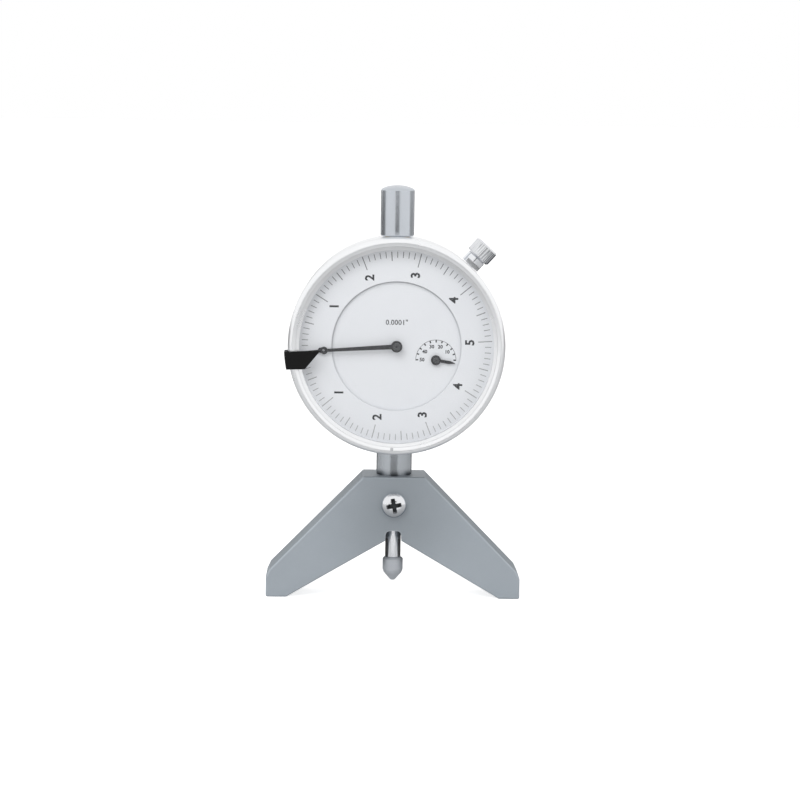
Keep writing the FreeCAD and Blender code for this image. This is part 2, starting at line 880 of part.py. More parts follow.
def make_front_plate():
    plate = rod_y(web_back + fixed_gap / 2, front_plate_back, plate_radius, 0, dial_height)
    cuts = [rod_y(web_back - 1, front_plate_back + 1, jewel_diameter / 2 + fixed_gap, x, dial_height + z)
            for x, z in arbor_centres()]
    for across, up in pillar_places():
        cuts.append(rod_y(web_back - 1, front_plate_back + 1, small_screw / 2 + fixed_gap, across, up))
    cuts.append(rod_y(web_back - 1, front_plate_back + 1, plate_window_diameter / 2,
                      0, dial_height + plate_radius / 2))
    return plate.cut(cuts).removeSplitter()


def make_rear_plate():
    plate = rod_y(rear_plate_front, rear_plate_back, plate_radius, 0, dial_height)
    cuts = [rod_y(rear_plate_front - 1, rear_plate_back + 1, jewel_diameter / 2 + fixed_gap,
                  x, dial_height + z) for x, z in arbor_centres()]
    for across, up in list(pillar_places()) + guide_screw_places() + [cock_screw_place()]:
        cuts.append(rod_y(rear_plate_front - 1, rear_plate_back + 1, small_screw / 2 + fixed_gap, across, up))
    cuts.append(rod_y(rear_plate_front - 1, rear_plate_back + 1, plate_window_diameter / 2,
                      plate_radius / 2, dial_height + plate_radius / 2))
    half = collar_diameter / 2 + side_gap
    collar_top = stop_collar_low() + collar_height + spindle_travel + side_gap
    cuts.append(block((-half, rear_plate_front - 1, dial_height - bore_radius),
                      (half, rear_plate_back + 1, collar_top)))
    return plate.cut(cuts).removeSplitter()


def make_plate_pillars():
    return group([
        ring_y(front_plate_back + fixed_gap / 2, rear_plate_front - fixed_gap / 2,
               pillar_diameter / 2, small_screw / 2 + fixed_gap, across, up)
        for across, up in pillar_places()])


def make_movement_screws():
    return group([
        slotted_screw(rear_plate_back + small_head_height, rear_plate_back + fixed_gap / 2,
                      web_front + 2 * fixed_gap, small_head_diameter / 2, small_screw / 2, across, up)
        for across, up in pillar_places()])


def make_pivot_jewels():
    outer = jewel_diameter / 2
    pivot = pivot_diameter / 2 + slide_gap
    shaft = hand_arbor_diameter / 2 + slide_gap
    front = [
        ring_y(web_back + fixed_gap, front_plate_back, outer, bore, x, dial_height + z)
        for (x, z), bore in zip(arbor_centres(), (pivot, shaft, shaft, pivot))]
    rear = [
        ring_y(rear_plate_front, rear_plate_back, outer, pivot, x, dial_height + z)
        for x, z in arbor_centres()[1:]]
    guide = arbor_diameter / 2 + slide_gap
    x, z = first_centre
    rear.append(ring_y(rear_plate_front, rear_plate_back, outer, guide, x, dial_height + z))
    cock_back = rear_plate_back + cock_height
    rear.append(ring_y(cock_back - plate_thickness, cock_back, outer, pivot, x, dial_height + z))
    return group(front + rear)


def cock_screw_place():
    return first_centre[0] + 1.25 * cock_width, dial_height + first_centre[1]


def make_rear_cock():
    x, z = first_centre[0], dial_height + first_centre[1]
    back = rear_plate_back + cock_height
    half = cock_width / 2
    foot_start = x + 0.75 * cock_width
    arm = block((x, back - plate_thickness, z - half), (foot_start + cock_width, back, z + half))
    eye = rod_y(back - plate_thickness, back, half, x, z)
    foot = block((foot_start, rear_plate_back + fixed_gap / 2, z - half),
                 (foot_start + cock_width, back, z + half))
    screw_x, screw_z = cock_screw_place()
    cuts = [
        rod_y(rear_plate_back - 1, back + 1, small_screw / 2 + fixed_gap, screw_x, screw_z),
        rod_y(rear_plate_back - 1, back + 1, jewel_diameter / 2 + fixed_gap, x, z),
    ]
    return joined([arm, eye, foot]).cut(cuts)


def make_cock_screw():
    back = rear_plate_back + cock_height
    screw_x, screw_z = cock_screw_place()
    return slotted_screw(back + small_head_height, back + fixed_gap / 2, rear_plate_front + fixed_gap,
                         small_head_diameter / 2, small_screw / 2, screw_x, screw_z)


# Guide block that stops the spindle turning, and its slot
def guide_span():
    pin = guide_pin_diameter / 2 + turn_gap
    low = dial_height + guide_pin_rise - pin
    return low, low + 2 * pin + spindle_travel


def guide_screw_places():
    low, high = guide_span()
    x = -guide_block_offset - guide_block_width / 2
    return [(x, low - guide_wall / 2), (x, high + guide_wall / 2)]


def guide_back():
    return guide_pin_diameter / 2 + slide_gap + guide_wall


def make_guide_block():
    low, high = guide_span()
    left = -guide_block_offset - guide_block_width
    body = block((left, rear_plate_back + fixed_gap / 2, low - guide_wall),
                 (-guide_block_offset, guide_back(), high + guide_wall))
    half = guide_pin_diameter / 2 + slide_gap
    slot = block((left - 1, -half, low), (1 - guide_block_offset, half, high))
    cuts = [slot]
    for x, z in guide_screw_places():
        cuts.append(rod_y(rear_plate_back - 1, guide_back() + 1, small_screw / 2 + fixed_gap, x, z))
    return body.cut(cuts)


def make_guide_screws():
    return group([
        slotted_screw(guide_back() + small_head_height, guide_back() + fixed_gap / 2,
                      rear_plate_front + fixed_gap, small_head_diameter / 2, small_screw / 2, x, z)
        for x, z in guide_screw_places()])


# Return spring, from the guide pin down to its post
def make_spring_post():
    height = dial_height - spring_post_drop
    reach = spring_diameter / 2
    return rod_y(rear_plate_back + fixed_gap / 2, reach, spring_post_diameter / 2, -spring_offset, height)


def make_return_spring():
    x = -spring_offset
    pin_height = dial_height + guide_pin_rise
    post_height = dial_height - spring_post_drop
    half = spring_wire / 2
    coil_radius = spring_diameter / 2 - half
    hook_top = guide_pin_diameter / 2 + fixed_gap
    hook_low = spring_post_diameter / 2 + fixed_gap
    low = post_height + hook_low + 3 * spring_wire
    high = pin_height - hook_top - 3 * spring_wire
    sections = []
    steps = 8 * spring_turns
    for index in range(steps + 1):
        angle = 45 * index
        level = low + (high - low) * index / steps
        corners = []
        for radial, vertical in ((-half, -half), (half, -half), (half, half), (-half, half)):
            across, back = polar(coil_radius + radial, angle)
            corners.append(V(x + across, back, level + vertical))
        sections.append(Part.makePolygon(corners + [corners[0]]))
    coil = Part.makeLoft(sections, True, True)
    upper_hook = Part.makeCylinder(hook_top + spring_wire, spring_wire, V(x - half, 0, pin_height), V(1, 0, 0))
    upper_hook = upper_hook.cut(Part.makeCylinder(
        hook_top, 3 * spring_wire, V(x - 3 * half, 0, pin_height), V(1, 0, 0)))
    lower_hook = ring_y(-half, half, hook_low + spring_wire, hook_low, x, post_height)
    tails = [
        block((x - half, -half, high - half), (x + coil_radius, half, high + half)),
        block((x - half, -half, high - half), (x + half, half, pin_height - hook_top - half)),
        block((x - half, -half, low - half), (x + coil_radius, half, low + half)),
        block((x - half, -half, post_height + hook_low + half), (x + half, half, low + half)),
    ]
    return coil.fuse([upper_hook, lower_hook] + tails)


# Hands
def aimed(direction, u, v):
    # A point u along a direction and v to its left, relative to the dial centre.
    along = polar(u, direction)
    aside = polar(v, direction + 90)
    return along[0] + aside[0], along[1] + aside[1]


def make_main_hand():
    back, front = main_hand_back, main_hand_back - hand_thickness
    root, end = main_hand_root / 2, main_hand_end / 2
    outline = [(0, -root), (hand_ring_radius, -end), (hand_ring_radius, end), (0, root)]
    tip = [(hand_ring_radius, -end), (main_hand_length, -0.1), (main_hand_length, 0.1), (hand_ring_radius, end)]

    def placed(points):
        corners = [aimed(zero_direction, u, v) for u, v in points]
        return [(x, dial_height + z) for x, z in corners]

    ring_x, ring_z = aimed(zero_direction, hand_ring_radius, 0)
    blade = joined([
        slab_y(placed(outline), back, front),
        slab_y(placed(tip), back, front),
        rod_y(back, front, hand_ring_diameter / 2, ring_x, dial_height + ring_z),
        rod_y(back + hand_thickness, front - hand_thickness, main_hub_diameter / 2, 0, dial_height),
    ])
    seat = rod_y(back + 1, back - 2 * hand_thickness, hand_arbor_diameter / 2 + fixed_gap, 0, dial_height)
    eye = rod_y(back + 1, front - 1, hand_ring_hole / 2, ring_x, dial_height + ring_z)
    return blade.cut([seat, eye]).removeSplitter()


def make_counter_hand():
    back, front = counter_hand_back, counter_hand_back - hand_thickness
    x, z = counter_centre
    half = counter_hand_width / 2
    points = [(0, -half), (0.72 * counter_hand_length, -half), (counter_hand_length, 0),
              (0.72 * counter_hand_length, half), (0, half)]
    corners = [aimed(counter_rest_direction, u, v) for u, v in points]
    blade = slab_y([(x + a, dial_height + z + b) for a, b in corners], back, front)
    hub = rod_y(back, front - hand_thickness, counter_hub_diameter / 2, x, dial_height + z)
    seat = rod_y(back + 1, back - 2 * hand_thickness, hand_arbor_diameter / 2 + fixed_gap, x, dial_height + z)
    return blade.fuse(hub).cut(seat).removeSplitter()


# Limit marker clipped on the bezel
def make_limit_marker():
    outer = bezel_radius + marker_overhang

    def placed(points):
        corners = [aimed(marker_direction, u, v) for u, v in points]
        return [(x, dial_height + z) for x, z in corners]

    flag = slab_y(placed([
        (marker_tip_radius, 0.2), (outer, 0.2), (outer, marker_width), (marker_heel_radius, marker_width),
    ]), marker_back, marker_front)
    arm = placed([(marker_heel_radius, 0.2), (outer, 0.2), (outer, marker_width),
                  (marker_heel_radius, marker_width)])
    lip_back = marker_groove_back - turn_gap
    lip_front = marker_groove_back - marker_groove_width + turn_gap
    leg = slab_y(arm, lip_back, marker_back).cut(rod_y(
        lip_back + 1, marker_back, bezel_radius + 2 * turn_gap, 0, dial_height))
    lip = slab_y(arm, lip_back, lip_front).cut(rod_y(
        lip_back + 1, lip_front - 1, bezel_radius - marker_groove_depth + 2 * turn_gap, 0, dial_height))
    whole = joined([flag, leg, lip])
    return whole.common(rod_y(lip_back + 1, marker_front - 1, outer, 0, dial_height))


# Bezel clamp: a shoe with a lip over the bezel's rim, and its thumb screw
def shoe_bottom():
    return case_radius + clamp_stroke + 2 * turn_gap


def make_clamp_shoe():
    bottom = shoe_bottom()
    body = turned_z([
        (bottom, 0),
        (bottom, shoe_diameter / 2),
        (bottom + shoe_height, shoe_diameter / 2, 0.3),
        (bottom + shoe_height, 0),
    ])
    clear_rim = bezel_rim_radius + clamp_stroke + turn_gap
    reach = clamp_setback - case_front - bezel_rim_length + side_gap
    half = shoe_diameter * 0.37
    lip = block((-half, reach, bottom - 1), (half, 0, clear_rim + shoe_lip_thickness))
    relief = Part.makeCylinder(clear_rim, 4 * case_front, V(0, -3 * case_front, 0), V(0, 1, 0))
    lip = lip.cut([relief, block((-half, -shoe_diameter / 4, 0), (half, 0, bottom))])
    whole = body.fuse(lip).cut(rod_z(bottom - 2, bottom + shoe_height + 1, knob_stud_diameter / 2 + turn_gap))
    return clamp_axis(whole.removeSplitter())


def make_clamp_knob():
    seat = shoe_bottom() + shoe_height + turn_gap
    top = seat + knob_length
    radius = knob_diameter / 2
    stud = knob_stud_diameter / 2
    tip = bore_radius - side_gap
    knob = turned_z([
        (tip, 0),
        (tip, stud, 0.15),
        (seat, stud),
        (seat, radius - knob_edge),
        (seat + knob_edge, radius),
        (top - knob_edge, radius),
        (top, radius - knob_edge),
        (top, 0),
    ])
    return clamp_axis(knob)


os.makedirs("parts", exist_ok=True)
makers = [
    make_depth_base, make_base_clamp_screw, make_stem, make_lower_bush, make_upper_bush, make_dust_cap,
    make_spindle, make_contact_point, make_stop_collar, make_guide_pin, make_case, make_back_cover,
    make_cover_screws, make_bezel, make_bezel_retainer, make_crystal, make_crystal_ring, make_dial_ring,
    make_inner_dial, make_hairspring, make_hairspring_stud, make_front_plate, make_rear_plate,
    make_plate_pillars, make_movement_screws, make_pivot_jewels, make_rear_cock, make_cock_screw,
    make_guide_block, make_guide_screws, make_spring_post, make_return_spring, make_main_hand,
    make_counter_hand, make_limit_marker, make_clamp_shoe, make_clamp_knob,
]
for maker in makers:
    save(maker.__name__[len("make_"):], maker())
for name, piece in make_train().items():
    save(name, piece)
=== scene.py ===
import json
import math

import bmesh
import bpy
from mathutils import Matrix, Vector

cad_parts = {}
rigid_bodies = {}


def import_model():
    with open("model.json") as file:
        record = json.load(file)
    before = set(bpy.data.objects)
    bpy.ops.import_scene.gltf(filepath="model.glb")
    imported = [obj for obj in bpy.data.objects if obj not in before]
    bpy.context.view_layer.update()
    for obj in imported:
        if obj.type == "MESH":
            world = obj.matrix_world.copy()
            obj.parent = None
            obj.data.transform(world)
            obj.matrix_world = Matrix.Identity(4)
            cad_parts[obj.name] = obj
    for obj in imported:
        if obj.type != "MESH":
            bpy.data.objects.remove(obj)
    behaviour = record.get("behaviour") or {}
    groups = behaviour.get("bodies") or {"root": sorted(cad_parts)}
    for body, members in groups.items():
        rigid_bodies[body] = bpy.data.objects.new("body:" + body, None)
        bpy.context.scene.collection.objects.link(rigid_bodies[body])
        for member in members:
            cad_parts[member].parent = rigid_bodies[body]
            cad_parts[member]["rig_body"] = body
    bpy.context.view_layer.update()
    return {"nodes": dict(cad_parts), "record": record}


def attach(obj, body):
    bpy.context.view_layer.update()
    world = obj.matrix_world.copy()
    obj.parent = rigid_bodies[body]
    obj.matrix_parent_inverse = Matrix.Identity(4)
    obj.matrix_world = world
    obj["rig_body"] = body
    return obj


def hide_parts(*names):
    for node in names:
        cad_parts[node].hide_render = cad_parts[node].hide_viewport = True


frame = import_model()
nodes = frame["nodes"]
print("frame loaded,", len(nodes), "nodes")


class Wire:
    # a socket that can be written into sums; other is a number or another Wire
    def __init__(self, tree, socket=None):
        self.tree = tree
        self.socket = socket

    def node(self, kind, settings=None, sockets=None, out=0):
        made = self.tree.nodes.new(kind)
        for name, value in (settings or {}).items():
            setattr(made, name, value)
        for name, value in (sockets or {}).items():
            if isinstance(value, Wire):
                self.tree.links.new(value.socket, made.inputs[name])
            else:
                made.inputs[name].default_value = value
        return Wire(self.tree, made.outputs[out])

    def maths(self, operation, *values):
        return self.node("ShaderNodeMath", {"operation": operation}, dict(enumerate(values)))

    def __add__(self, other):
        return self.maths("ADD", self, other)

    __radd__ = __add__

    def __mul__(self, other):
        return self.maths("MULTIPLY", self, other)

    __rmul__ = __mul__

    def __sub__(self, other):
        return self.maths("SUBTRACT", self, other)

    def __rsub__(self, other):
        return self.maths("SUBTRACT", other, self)

    # 0 below low, 1 above high, smooth between
    def step(self, low, high):
        return self.node("ShaderNodeMapRange", {"interpolation_type": "SMOOTHSTEP"},
                         {"Value": self, "From Min": low, "From Max": high})

    # first where the number is 0, second where it is 1
    def mixed(self, first, second):
        return self.node("ShaderNodeMix", {"data_type": "RGBA"}, {0: self, 6: first, 7: second}, out=2)


def place(wire, centre=(0, 0, 0), stretch=(1, 1, 1)):
    # Object coordinates about a centre; stretch below 1 draws the grain out along an axis
    seat = wire.node("ShaderNodeTexCoord", out="Object")
    centred = wire.node("ShaderNodeVectorMath", {"operation": "SUBTRACT"}, {0: seat, 1: centre})
    return wire.node("ShaderNodeMapping", {}, {"Vector": centred, "Scale": stretch})


def facing(wire):
    return wire.node("ShaderNodeNewGeometry", out="Normal")


def along(vector, axis):
    return vector.node("ShaderNodeSeparateXYZ", {}, {0: vector}, out=axis)


def length(vector):
    return vector.node("ShaderNodeVectorMath", {"operation": "LENGTH"}, {0: vector}, out="Value")


def dot(vector, other):
    return vector.node("ShaderNodeVectorMath", {"operation": "DOT_PRODUCT"}, {0: vector, 1: other},
                       out="Value")


def noise(wire, where, scale, detail=3.0, rough=0.5):
    return wire.node("ShaderNodeTexNoise", {},
                     {"Vector": where, "Scale": scale, "Detail": detail, "Roughness": rough})


def bumped(wire, height, depth, strength):
    return wire.node("ShaderNodeBump", {}, {"Height": height, "Distance": depth, "Strength": strength})


def finish(name, fixed, build):
    # fixed holds the shader's own constants; build returns what the nodes drive
    material = bpy.data.materials.new(name)
    material.use_nodes = True
    tree = material.node_tree
    shader = next(n for n in tree.nodes if n.type == "BSDF_PRINCIPLED")
    for socket, value in fixed.items():
        shader.inputs[socket].default_value = value
    for socket, value in build(Wire(tree)).items():
        tree.links.new(value.socket, shader.inputs[socket])
    return material


dialCentre = (0, -0.0126, 0.069)
screwSeat = (0, -0.00635, 0.0256)

baseLook = {"dark": (0.375, 0.42, 0.46, 1), "pale": (0.485, 0.53, 0.575, 1), "edge": (0.52, 0.56, 0.6, 1),
            "rough": 0.36, "edgeRadius": 0.0004, "edgeTurn": (0.004, 0.06),
            "shadeCentre": (0, 0, 0.022), "shadeReach": (0.003, 0.024), "shadeDepth": 0.25,
            "topTurn": (0.3, 0.8), "topDepth": 0.17}


def groundSteel(wire, size=baseLook):
    # satin ground block: cloudy tone, fine grain along its length, paler edges that are part edge wear and part
    # painted highlight, painted shade darker towards the middle of the front round the screw, and painted shade
    # on what faces up
    where = place(wire)
    cloud = noise(wire, where, 70.0, 4.0, 0.6)
    grain = noise(wire, place(wire, stretch=(0.12, 1, 1)), 5200.0, 2.0)
    speck = noise(wire, where, 2000.0, 3.0, 0.7)
    tone = 0.55 * cloud + 0.25 * grain + 0.2 * speck
    soft = wire.node("ShaderNodeBevel", {"samples": 4}, {"Radius": size["edgeRadius"]})
    # paler along the rounded edges: part edge wear, part painted highlight
    edge = (1 - dot(soft, facing(wire))).step(*size["edgeTurn"])
    # painted shade: darker towards the middle of the front face, round the screw
    away = length(place(wire, size["shadeCentre"])).step(*size["shadeReach"])
    # painted shade on the faces that look up
    lift = along(facing(wire), "Z").step(*size["topTurn"])
    kept = away * size["shadeDepth"] + (1 - size["shadeDepth"]) - size["topDepth"] * lift
    body = wire.node("ShaderNodeMix", {"data_type": "RGBA", "blend_type": "MULTIPLY"},
                     {0: 1.0, 6: tone.mixed(size["dark"], size["pale"]),
                      7: kept.mixed((0, 0, 0, 1), (1, 1, 1, 1))}, out=2)
    return {"Base Color": edge.mixed(body, size["edge"]),
            "Roughness": size["rough"] + 0.16 * tone,
            "Normal": bumped(wire, 0.6 * grain + 0.4 * speck, 0.000012, 0.35)}


def turnedRod(pale, dark, rough):
    # fine rings round an upright rod
    def build(wire):
        rings = noise(wire, place(wire, stretch=(0.02, 0.02, 1)), 5200.0, 2.0)
        wear = noise(wire, place(wire, stretch=(1, 1, 0.25)), 420.0, 3.0)
        return {"Base Color": (0.6 * wear + 0.4 * rings).mixed(dark, pale),
                "Roughness": rough + 0.12 * wear,
                "Normal": bumped(wire, rings, 0.000006, 0.5)}
    return build


def turnedFace(pale, dark, rough):
    # rings about the dial's axis, as a lathe leaves them on bezel and case
    def build(wire):
        where = place(wire, dialCentre)
        across, up = along(where, "X"), along(where, "Z")
        radius = wire.maths("SQRT", across * across + up * up)
        outwards = wire.node("ShaderNodeCombineXYZ", {}, {"X": radius, "Y": along(where, "Y")})
        rings = noise(wire, outwards, 3000.0, 2.0)
        cloud = noise(wire, where, 160.0, 3.0)
        return {"Base Color": (0.55 * cloud + 0.45 * rings).mixed(dark, pale),
                "Roughness": rough + 0.1 * cloud,
                "Normal": bumped(wire, rings, 0.000003, 0.5)}
    return build


def speckled(pale, dark, rough, spread=0.1, scale=1400.0):
    # fine specks over broader patches, for small and painted pieces
    def build(wire):
        fine = noise(wire, place(wire), scale, 3.0, 0.6)
        broad = noise(wire, place(wire), scale * 0.12, 2.0)
        return {"Base Color": (0.6 * broad + 0.4 * fine).mixed(dark, pale),
                "Roughness": rough + spread * fine,
                "Normal": bumped(wire, fine, 0.000006, 0.4)}
    return build


def plain(dark, pale):
    # cards round the gauge: one grey with a faint cloud
    def build(wire):
        shades = [(shade, shade, shade, 1) for shade in (dark, pale)]
        return {"Base Color": noise(wire, place(wire), 4.0).mixed(*shades)}
    return build


stemLook = {"pale": (0.62, 0.65, 0.68, 1), "dark": (0.48, 0.51, 0.545, 1), "rough": 0.2,
            "footHeight": (0.0331, 0.0352), "middlePatch": (0.0006, 0.0016), "sidePatch": (0.0024, 0.0036),
            "foot": (0.07, 0.075, 0.085, 1)}


def stemSteel(wire, size=stemLook):
    # a worn turned tube, with painted shade where it goes into the base, deepest in three patches round its
    # foot
    look = turnedRod(size["pale"], size["dark"], size["rough"])(wire)
    seat = place(wire)
    across = wire.maths("ABSOLUTE", along(seat, "X"))
    shadePatches = wire.maths("MAXIMUM", 1 - across.step(*size["middlePatch"]), across.step(*size["sidePatch"]))
    # painted shade round the foot of the stem, deepest in the three patches
    foot = (1 - along(seat, "Z").step(*size["footHeight"])) * (0.45 + 0.55 * shadePatches)
    look["Base Color"] = foot.mixed(look["Base Color"], size["foot"])
    return look


# the crown's height, and how fast it falls away with the square of the reach
screwLook = {"crown": 0.00235, "fall": 72.0, "recessDepth": (0.0001, 0.0005), "recessReach": (0.0024, 0.0026),
             "recess": (0.05, 0.055, 0.06, 1), "underTurn": (-0.5, 0.15), "under": (0.5, 0.52, 0.545, 1)}


def screwChrome(wire, size=screwLook):
    # bright head with painted shade on the faces that look down, and painted shade in its recess that deepens
    # with the depth
    look = speckled((0.86, 0.87, 0.89, 1), (0.76, 0.77, 0.79, 1), 0.12, 0.06)(wire)
    reach = length(place(wire, screwSeat, stretch=(1, 0, 1)))
    below = along(place(wire, screwSeat), "Y") + size["crown"] - size["fall"] * reach * reach
    # painted shade in the crossed recess, darker further in
    recess = below.step(*size["recessDepth"]) * (1 - reach.step(*size["recessReach"]))
    # painted shade on the faces that look down
    lit = along(facing(wire), "Z").step(*size["underTurn"]).mixed(size["under"], look["Base Color"])
    look["Base Color"] = recess.mixed(lit, size["recess"])
    look["Metallic"] = 1 - 0.8 * recess
    return look


knobLook = {"flank": (0.676, 0, -0.737), "flankTurn": (0.42, 0.72), "flankShade": (0.09, 0.1, 0.115, 1)}


def knobSteel(wire, size=knobLook):
    # bright grip, with painted shade on the flank that faces down and outwards
    look = speckled((0.86, 0.87, 0.89, 1), (0.68, 0.69, 0.71, 1), 0.2)(wire)
    # painted shade on the flank that faces down and outwards
    flank = dot(facing(wire), size["flank"]).step(*size["flankTurn"])
    look["Base Color"] = flank.mixed(look["Base Color"], size["flankShade"])
    return look


tickLook = {"dark": (0.18, 0.185, 0.195, 1), "pale": (0.24, 0.245, 0.255, 1),
            "glareGrey": (0.42, 0.425, 0.435, 1), "blendRange": (-0.024, 0.024)}


def tickInk(wire, size=tickLook):
    # thin grey ink, with a painted highlight that makes it paler towards the foot of the dial
    look = speckled(size["pale"], size["dark"], 0.55, scale=5000.0)(wire)
    # painted highlight: the ink turns paler towards the foot of the dial
    high = along(place(wire, dialCentre), "Z").step(*size["blendRange"])
    look["Base Color"] = high.mixed(size["glareGrey"], look["Base Color"])
    return look


dialLook = {"dark": (0.74, 0.76, 0.795, 1), "pale": (0.79, 0.805, 0.83, 1), "rough": 0.52,
            "seamRadius": 0.01695, "seamWidth": (0.0001, 0.00026), "seamHeight": (-0.012, 0.016),
            "seamShadow": (0.3, 0.31, 0.33, 1)}


def dialPaint(wire, size=dialLook):
    # matte white paint with a faint dark joint where the turning ring meets the fixed disc,
    # and painted shadow along it that is strongest at the top and fades towards the foot
    tooth = noise(wire, place(wire), 9000.0, 2.0)
    paint = noise(wire, place(wire), 55.0, 2.0).mixed(size["dark"], size["pale"])
    seat = place(wire, dialCentre, stretch=(1, 0, 1))
    high = along(seat, "Z").step(*size["seamHeight"])
    apart = wire.maths("ABSOLUTE", length(seat) - size["seamRadius"]).step(*size["seamWidth"])
    # a faint dark joint all round, with painted shadow that grows towards the top of the dial
    return {"Base Color": ((1 - apart) * (0.05 + 0.55 * high)).mixed(paint, size["seamShadow"]),
            "Roughness": size["rough"] + 0.1 * tooth,
            "Normal": bumped(wire, tooth, 0.000003, 0.4)}


def crystalClear(wire):
    return {"Base Color": noise(wire, place(wire), 30.0).mixed((0.97, 0.98, 1, 1), (1, 1, 1, 1)),
            "Roughness": 0.04 + 0.02 * noise(wire, place(wire), 500.0)}


metal = {"Metallic": 1.0}
matt = {"Roughness": 0.8}
glowing = {"Roughness": 0.8, "Emission Color": (1, 1, 1, 1), "Emission Strength": 0.5}
finishes = {
    "base_steel": finish("baseSteel", {"Metallic": 0.5}, groundSteel),
    "bright_steel": finish("brightSteel", metal, turnedRod((0.9, 0.91, 0.93, 1), (0.8, 0.81, 0.84, 1), 0.14)),
    "plated": finish("satinChrome", metal, turnedRod((0.61, 0.64, 0.68, 1), (0.52, 0.55, 0.59, 1), 0.17)),
    "hard_steel": finish("hardSteel", {"Metallic": 0.4},
                         turnedRod((0.56, 0.585, 0.62, 1), (0.49, 0.515, 0.55, 1), 0.42)),
    "body_metal": finish("satinAluminium", {"Metallic": 0.9},
                         turnedFace((0.95, 0.955, 0.965, 1), (0.88, 0.89, 0.905, 1), 0.24)),
    "small_steel": finish("smallSteel", metal, speckled((0.56, 0.57, 0.59, 1), (0.4, 0.41, 0.43, 1), 0.24)),
    "spring_steel": finish("springSteel", metal, speckled((0.3, 0.33, 0.42, 1), (0.2, 0.22, 0.3, 1), 0.3)),
    "movement_brass": finish("movementBrass", metal,
                             speckled((0.85, 0.66, 0.33, 1), (0.74, 0.55, 0.26, 1), 0.28)),
    "jewel": finish("jewelRed", {"Coat Weight": 0.5},
                    speckled((0.5, 0.03, 0.08, 1), (0.38, 0.02, 0.06, 1), 0.08)),
    "dial_white": finish("dialPaint", {}, dialPaint),
    "hand_black": finish("darkHand", {"Specular IOR Level": 0.3},
                         speckled((0.035, 0.036, 0.04, 1), (0.02, 0.02, 0.023, 1), 0.4)),
    "marker_black": finish("markerBlack", {"Specular IOR Level": 0.15},
                           speckled((0.009, 0.009, 0.009, 1), (0.005, 0.005, 0.005, 1), 0.55)),
    "clear": finish("crystalClear", {"Alpha": 0.02, "IOR": 1.3}, crystalClear),
    "printing": finish("dialPrinting", {"Specular IOR Level": 0.2},
                       speckled((0.045, 0.047, 0.052, 1), (0.028, 0.03, 0.034, 1), 0.55, scale=5000.0)),
    "tickPrinting": finish("tickPrinting", {"Specular IOR Level": 0.2}, tickInk),
    "indexGrey": finish("indexGrey", {"Specular IOR Level": 0.3},
                        speckled((0.5, 0.51, 0.525, 1), (0.42, 0.43, 0.445, 1), 0.5)),
    "stemSteel": finish("stemSteel", metal, stemSteel),
    "knobSteel": finish("knobSteel", metal, knobSteel),
    "screwChrome": finish("screwChrome", metal, screwChrome),
    "hubGrey": finish("hubGrey", {"Metallic": 0.6},
                      speckled((0.11, 0.115, 0.12, 1), (0.07, 0.073, 0.08, 1), 0.4)),
    "cardDark": finish("cardDark", matt, plain(0.13, 0.17)),
    "cardGrey": finish("cardGrey", matt, plain(0.4, 0.45)),
    "cardWhite": finish("cardWhite", glowing, plain(0.8, 0.85)),
}
for row in frame["record"]["subparts"]:
    slots = nodes[row["node"]].data.materials
    slots.clear()
    slots.append(finishes["stemSteel" if row["node"] == "stem" else row["material_slot"]])
print("finishes on,", len(finishes))


def toScene(name, shape):
    # makes an object of a bmesh that is already in its place, in metres
    mesh = bpy.data.meshes.new(name)
    shape.to_mesh(mesh)
    shape.free()
    made = bpy.data.objects.new(name, mesh)
    bpy.context.scene.collection.objects.link(made)
    return made


def toPiece(name, shape, body, slot, paint=None, sharp=30):
    # paint is the finish, where it isn't the slot's own
    made = toScene(name, shape)
    made.data.materials.append(finishes[paint or slot])
    made.data.polygons.foreach_set("use_smooth", [True] * len(made.data.polygons))
    made.data.set_sharp_from_angle(angle=math.radians(sharp))
    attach(made, body)
    return made


def around(degrees):
    # turn about the dial's axis as seen from the front: 0 points right, and it grows counter-clockwise
    return Matrix.Rotation(math.radians(-degrees), 4, "Y")


def onDial(x, z, y=0.0):
    # millimetres: x and z from the dial's centre, y from the spindle's plane
    return Matrix.Translation((x / 1000, y / 1000, dialCentre[2] + z / 1000))


toFront = Matrix.Rotation(math.radians(90), 4, "X")
capitalHeight = 0.7  # of the built-in font, as a share of its size


def lettering(words, height, deep, where, bold):
    # words is a list of (text, matrix); one flat mesh, a hair thick; bold thickens the strokes
    shape = bmesh.new()
    for text, seat in words:
        curve = bpy.data.curves.new("letters", "FONT")
        curve.body = text
        curve.size = height / 1000 / capitalHeight
        curve.align_x = "CENTER"
        curve.align_y = "CENTER"
        curve.resolution_u = 2
        curve.extrude = deep / 2000
        curve.offset = bold / 1000
        holder = bpy.data.objects.new("letters", curve)
        flat = bpy.data.meshes.new_from_object(holder)
        flat.transform(where @ seat @ toFront)
        shape.from_mesh(flat)
        bpy.data.objects.remove(holder)
        bpy.data.curves.remove(curve)
        bpy.data.meshes.remove(flat)
    return shape


def tick(shape, inner, outer, width, deep, where, degrees):
    # one printed line from inner to outer radius
    seat = where @ around(degrees) @ Matrix.Translation(((inner + outer) / 2000, 0, 0))
    stretch = Matrix.Diagonal(((outer - inner) / 1000, deep / 1000, width / 1000, 1))
    bmesh.ops.create_cube(shape, size=1.0, matrix=seat @ stretch)


def onCircle(radius, degrees):
    # a place on a circle about the dial's axis, without the turn
    return Matrix.Translation((around(degrees) @ Matrix.Translation((radius / 1000, 0, 0))).to_translation())


# the turning ring stands with its zero at the left, so its numerals lie on their side
ringPrint = {"front": -12.6, "deep": 0.02, "zero": 183.7, "marks": 100, "outer": 24.95,
             "short": 23.3, "middle": 22.5, "long": 21.5, "longOuter": 25.2, "thin": 0.19, "thick": 0.24,
             "numbers": (0, 1, 2, 3, 4, 5, 4, 3, 2, 1), "numeralRadius": 19.4, "numeralHeight": 2.3,
             "numeralTurn": 90, "bold": 0.095}


